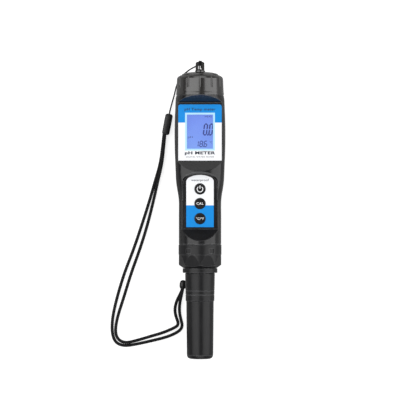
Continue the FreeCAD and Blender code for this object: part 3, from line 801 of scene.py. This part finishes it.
class TESTER_OT_lanyard(bpy.types.Operator):
    """Braid the strap, twist the string, and make the sleeve and the bead that hold them"""
    bl_idname = "tester.lanyard"
    bl_label = "Lanyard"

    def execute(self, context):
        size = sizes()
        thread = cord_material()
        shiny = moulded("lanyard_plastic", colours().casing, 0.26, 5200.0, 0.006 * MM,
                        Specular_IOR_Level=0.3)
        slider = new_piece("crimp_sleeve", skinned("crimp_sleeve", laid(block_rows(
            (SLIDER_BOTTOM - SLIDER_TOP).length, 2.6 * MM, 2.5 * MM, slider_swell),
            SLIDER_TOP, SLIDER_BOTTOM)), "lanyard", shiny)
        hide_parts("lanyard_slider")
        bead = new_piece("loop_bead", skinned("loop_bead", laid(block_rows(
            (BEAD_HIGH - BEAD_LOW).length, 2.3 * MM, 2.3 * MM, bead_swell, 2.2),
            BEAD_HIGH, BEAD_LOW)), "lanyard", shiny)
        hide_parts("strap_bead")
        winding = eye_winding(2)
        mesh, _, _ = cord_mesh("eye_winding", winding, size.string_diameter, 1.6 * MM, twisted,
                               0.09 * MM, 0.12 * MM, 18)
        hitch = new_piece("eye_winding", mesh, "lanyard", thread)
        for name, across, drop in (("left_eye_loop", -0.5, 96.6), ("right_eye_loop", 0.75, 97.6)):
            mesh, _, _ = cord_mesh(name, eye_loop(across, drop), size.string_diameter * 0.9, 1.6 * MM,
                                   twisted, 0.08 * MM, 0.12 * MM, 18)
            new_piece(name, mesh, "lanyard", thread)
        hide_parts("lanyard_hitch")
        cords = (
            ("twisted_string", "lanyard_string", STRING_ROUTE, size.string_diameter, 1.9 * MM,
             twisted, 0.09 * MM, "fitting", [slider, hitch]),
            ("outer_strap", "strap_outer", OUTER_ROUTE, size.strap_diameter, size.braid_pitch,
             braided, 0.16 * MM, "fitting", [bead]),
            ("inner_strap", "strap_inner", INNER_ROUTE, size.strap_diameter, size.braid_pitch,
             braided, 0.16 * MM, "fitting", [bead]),
        )
        for name, node, route, diameter, pitch, relief, depth, far_end, fittings in cords:
            path = smooth_path(name, route)
            mesh, spaced, length = cord_mesh(name, path, diameter, pitch, relief, depth, pitch / 8)
            cord = new_piece(name, mesh, "lanyard", thread)
            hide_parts(node)
        return {"FINISHED"}


class TESTER_OT_casing(bpy.types.Operator):
    """Finish the casing, battery cap, nut and storage cap as moulded black plastic"""
    bl_idname = "tester.casing"
    bl_label = "Casing and caps"

    def execute(self, context):
        tone = colours()
        # the casing and grip plastics carry a painted highlight along their edges
        satin = moulded("casing_satin", tone.casing, 0.22, 4200.0, 0.006 * MM, edge_highlight=0.8,
                        Specular_IOR_Level=0.36)
        clad(satin, "front_casing", "rear_casing", "battery_collar", "probe_socket")
        dull = moulded("grip_satin", tone.casing, 0.34, 3600.0, 0.010 * MM, edge_highlight=0.5,
                       Specular_IOR_Level=0.26)
        clad(dull, "collar_nut", "storage_cap", "probe_flange")
        gloss = moulded("cap_semi_gloss", tone.cap, 0.2, 4800.0, 0.005 * MM, 0.04, 0.5,
                        Specular_IOR_Level=0.8)
        clad(gloss, "battery_cap", "lanyard_post")
        rings = (
            ("cap_shadow_ring", 15.6 * MM, high("front_casing").y, low("battery_cap").y),
            ("nut_shadow_ring", 14.0 * MM, high("collar_nut").y, low("front_casing").y),
        )
        for name, radius, start, end in rings:
            gap = (end - start) * 0.1
            flat_ring(name, RING_INNER, radius, start + gap, end - gap, "casing", satin)
        return {"FINISHED"}


class TESTER_OT_labels(bpy.types.Operator):
    """Print both labels and set the window"""
    bl_idname = "tester.labels"
    bl_label = "Labels and window"

    def execute(self, context):
        tone = colours()
        pale = (0.40, 0.66, 0.88)
        clad(label_film("display_label_film", (
            (tone.blue, corners_mm(-15.5, 15.5, 59.4, 73.0)),
            (pale, corners_mm(-10.1, 10.1, 40.5, 66.1)),
        )), "display_label")
        clad(label_film("keypad_label_film", (
            (tone.blue, corners_mm(-10.0, 10.0, -12.0, 3.4)),
        )), "keypad_label")
        ink = plain_ink("label_ink", tone.ink)
        level = LABEL_TOP + PRINT_GAP
        prints = (
            ("header_print", "pH Temp meter", 68.2, 21.0, 2.3, 0.018),
            ("type_print", "pH METER", 38.6, 20.6, 2.7, 0.04),
            ("line_print", "DIGITAL WATER TESTER", 36.2, 19.0, 0.95, 0.0),
            ("seal_print", "waterproof", 20.3, 12.0, 1.9, 0.015),
        )
        for name, words, place, width, height, bold in prints:
            lettering(name, words, (0.0, place * MM), width * MM, height * MM, level, "casing",
                      ink, bold)
        window, tree, shader = new_material("window_acrylic", IOR=1.49, Alpha=0.1, Coat_Weight=1.0,
                                            Coat_Roughness=0.03)
        haze = noise(tree, 240.0, 4.0)
        tint = mixed(tree, haze, (0.10, 0.14, 0.35, 1), (0.14, 0.18, 0.42, 1))
        tree.links.new(tint, shader.inputs["Base Color"])
        tree.links.new(span(tree, haze, 0.35, 0.75, 0.03, 0.09), shader.inputs["Roughness"])
        clad(window, "display_window")
        return {"FINISHED"}


class TESTER_OT_display(bpy.types.Operator):
    """Light the display and draw its readings"""
    bl_idname = "tester.display"
    bl_label = "Display"

    def execute(self, context):
        tone = colours()
        glow, tree, shader = new_material("display_glow", Emission_Strength=1.0, Roughness=0.3)
        split = tree.nodes.new("ShaderNodeSeparateXYZ")
        tree.links.new(tree.nodes.new("ShaderNodeTexCoord").outputs["Object"], split.inputs[0])
        fall = span(tree, split.outputs["Y"], 41 * MM, 65 * MM, 0.0, 0.45)
        patch = span(tree, noise(tree, 90.0, 2.0), 0.3, 0.7, 0.0, 0.18)
        deeper = opaque([c * f for c, f in zip(tone.lcd, (0.62, 0.55, 0.9))])
        lit = mixed(tree, maths(tree, "ADD", fall, patch), opaque(tone.lcd), deeper)
        tree.links.new(lit, shader.inputs["Emission Color"])
        tree.links.new(mixed(tree, 0.9, lit, (0, 0, 0, 1)), shader.inputs["Base Color"])
        clad(glow, "lcd_glass")
        dark, tree, shader = new_material("display_segment", Emission_Strength=0.5, Roughness=0.4)
        cloud = span(tree, noise(tree, 900.0, 2.0), 0.3, 0.7)
        shade = mixed(tree, cloud, opaque(tone.segment), opaque([c * 1.3 for c in tone.segment]))
        tree.links.new(shade, shader.inputs["Emission Color"])
        tree.links.new(shade, shader.inputs["Base Color"])
        digits("main_reading", "0.0", 1.75 * MM, 50.7 * MM, 2.95 * MM, 8.2 * MM, 0.9 * MM,
               0.75 * MM, 0.12, dark)
        digits("second_reading", "18.6", -1.7 * MM, 42.9 * MM, 2.35 * MM, 4.3 * MM, 0.6 * MM,
               0.55 * MM, 0.10, dark)
        marks = (
            ("unit_mark", "pH", -6.6, 49.5, 3.2, 1.7),
            ("state_mark", "MEAS", 5.6, 63.6, 4.6, 1.15),
            ("degree_mark", "°C", 7.3, 46.2, 1.9, 1.3),
        )
        for name, words, x, y, width, height in marks:
            lettering(name, words, (x * MM, y * MM), width * MM, height * MM, LCD_TOP, "casing",
                      dark)
        return {"FINISHED"}


def power_sign():
    """Open ring with a bar through its gap, as a flat mesh."""
    points = []
    faces = []
    steps = 40
    gap = math.radians(38)
    inner, outer = 0.78, 1.0
    for step in range(steps + 1):
        angle = math.pi / 2 + gap + (2 * math.pi - 2 * gap) * step / steps
        points += [(radius * math.cos(angle), radius * math.sin(angle), 0) for radius in (inner, outer)]
    for step in range(steps):
        first = 2 * step
        faces.append((first, first + 1, first + 3, first + 2))
    start = len(points)
    points += [(-0.12, 0.15, 0), (0.12, 0.15, 0), (0.12, 1.12, 0), (-0.12, 1.12, 0)]
    faces.append((start, start + 1, start + 2, start + 3))
    return mesh_from("power_sign", points, faces, smooth=False)


class TESTER_OT_keys(bpy.types.Operator):
    """Finish the three keys and their white marks"""
    bl_idname = "tester.keys"
    bl_label = "Keys"

    def execute(self, context):
        clad(moulded("key_gloss", (0.004, 0.004, 0.005), 0.22, 6000.0, 0.004 * MM), *KEYS)
        white = plain_ink("key_white", (0.82, 0.83, 0.85))
        level = KEY_TOP + PRINT_GAP
        places = {name: (low(name) + high(name)) / 2 for name in KEYS}
        stamped("power_mark", power_sign(), places["power_button"].xy, 4.3 * MM, 4.5 * MM, level,
                "power_button", white)
        lettering("cal_mark", "CAL", places["cal_button"].xy, 4.7 * MM, 1.75 * MM, level,
                  "cal_button", white, 0.012)
        lettering("unit_key_mark", "°C/°F", places["unit_button"].xy, 5.2 * MM, 1.75 * MM, level,
                  "unit_button", white, 0.012)
        return {"FINISHED"}


class TESTER_OT_insides(bpy.types.Operator):
    """Finish the pieces inside: seals, cells, board, contacts and the electrode"""
    bl_idname = "tester.insides"
    bl_label = "Insides and electrode"

    def execute(self, context):
        clad(moulded("seal_rubber", (0.012, 0.012, 0.012), 0.6, 3000.0, 0.01 * MM),
             "back_pad", "casing_gasket", "collar_o_ring", "contact_strip", "keypad_mat",
             "plug_o_ring", "cap_o_ring")
        clad(metal("bright_steel", (0.62, 0.62, 0.60)), "casing_screws", "button_cells", "post_clip",
             "temperature_sensor")
        clad(metal("gilt_brass", (0.80, 0.58, 0.24)), "bottom_contact", "contact_spring", "probe_pins")
        clad(moulded("white_moulding", (0.72, 0.72, 0.70), 0.45), "battery_holder", "backlight",
             "display_frame", "pin_receptacle")
        clad(moulded("solder_mask", (0.01, 0.12, 0.035), 0.3), "main_board")
        clad(moulded("chip_epoxy", (0.015, 0.015, 0.016), 0.5), "board_chips", "tact_switches")
        clad(moulded("electrode_resin", (0.02, 0.02, 0.022), 0.25, 5000.0, 0.004 * MM),
             "probe_body", "electrode_tube", "bulb_guard")
        clad(moulded("junction_ceramic", (0.75, 0.72, 0.64), 0.8, 8000.0, 0.02 * MM),
             "reference_junction")
        clad(moulded("storage_foam", (0.75, 0.68, 0.22), 0.95, 1500.0, 0.2 * MM), "storage_sponge")
        glass, tree, shader = new_material("bulb_glass", IOR=1.5, Transmission_Weight=1.0)
        haze = span(tree, noise(tree, 500.0, 3.0), 0.4, 0.7, 0.0, 0.06)
        tree.links.new(haze, shader.inputs["Roughness"])
        clad(glass, "glass_bulb")
        return {"FINISHED"}


FLOOR_HALF = 4.0
FLOOR_GLOW = 2.1            # lights the floor up for the camera, not for the tester
SKY_STRENGTH = 0.16


def soft_box(name, place, aim, width, height, power):
    """Rectangular studio light turned towards a point."""
    data = bpy.data.lights.new(name, "AREA")
    data.shape = "RECTANGLE"
    data.size = width
    data.size_y = height
    data.energy = power
    light = bpy.data.objects.new(name, data)
    light.location = place
    light.rotation_euler = (Vector(aim) - Vector(place)).to_track_quat("-Z", "Y").to_euler()
    bpy.context.scene.collection.objects.link(light)
    return light


class TESTER_OT_stage(bpy.types.Operator):
    """Lay the pale table and set the soft studio lights"""
    bl_idname = "tester.stage"
    bl_label = "Table and lights"

    def execute(self, context):
        half = FLOOR_HALF
        corners = [(-half, -half, 0), (half, -half, 0), (half, half, 0), (-half, half, 0)]
        mesh = mesh_from("table_top", corners, [(0, 1, 2, 3)], smooth=False)
        floor = bpy.data.objects.new("table_top", mesh)
        context.scene.collection.objects.link(floor)
        material, tree, shader = new_material("pale_table")
        cloud = span(tree, noise(tree, 6.0, 2.0), 0.3, 0.7, 0.985, 1.0)
        tone = mixed(tree, 1.0, opaque(colours().floor), cloud, "MULTIPLY")
        tree.links.new(tone, shader.inputs["Base Color"])
        tree.links.new(tone, shader.inputs["Emission Color"])
        seen = tree.nodes.new("ShaderNodeLightPath").outputs["Is Camera Ray"]
        tree.links.new(maths(tree, "MULTIPLY", seen, FLOOR_GLOW), shader.inputs["Emission Strength"])
        tree.links.new(span(tree, cloud, 0.98, 1.0, 0.7, 0.8), shader.inputs["Roughness"])
        mesh.materials.append(material)
        world = bpy.data.worlds.new("studio")
        world.use_nodes = True
        world.node_tree.nodes["Background"].inputs["Color"].default_value = (1, 1, 1, 1)
        world.node_tree.nodes["Background"].inputs["Strength"].default_value = SKY_STRENGTH
        context.scene.world = world
        context.scene.view_settings.view_transform = "Standard"
        soft_box("left_box", (-0.76, 0.2, 0.98), (0, 0, 0), 1.1, 1.6, 15.0)
        soft_box("right_box", (1.03, 0.15, 0.68), (0, 0, 0), 1.1, 1.6, 14.0)
        soft_box("far_box", (0.0, 1.2, 0.9), (0, 0, 0), 1.3, 0.5, 4.5)
        soft_box("near_box", (0.0, -1.2, 0.8), (0, 0, 0), 1.3, 0.5, 5.0)
        return {"FINISHED"}


# ---------------------------------------------------------------- panel and running
MAKERS = (
    TESTER_OT_camera, TESTER_OT_lanyard, TESTER_OT_casing, TESTER_OT_labels, TESTER_OT_display,
    TESTER_OT_keys, TESTER_OT_insides, TESTER_OT_stage,
)


class TESTER_PT_panel(bpy.types.Panel):
    """Every making step and value of the tester"""
    bl_idname = "TESTER_PT_panel"
    bl_label = "Pocket tester"
    bl_space_type = "VIEW_3D"
    bl_region_type = "UI"
    bl_category = "Tester"

    def draw(self, context):
        for maker in MAKERS:
            self.layout.operator(maker.bl_idname)
        for owner in (sizes(), colours()):
            for label in owner.__annotations__:
                self.layout.prop(owner, label)


CLASSES = (TesterSizes, TesterColours, *MAKERS, TESTER_PT_panel)


def register():
    for cls in CLASSES:
        bpy.utils.register_class(cls)
    bpy.types.Scene.tester_sizes = PointerProperty(type=TesterSizes)
    bpy.types.Scene.tester_colours = PointerProperty(type=TesterColours)


def unregister():
    del bpy.types.Scene.tester_colours
    del bpy.types.Scene.tester_sizes
    for cls in reversed(CLASSES):
        bpy.utils.unregister_class(cls)


def main():
    register()
    for maker in MAKERS:
        group, action = maker.bl_idname.split(".")
        getattr(getattr(bpy.ops, group), action)()


if __name__ == "__main__":
    main()
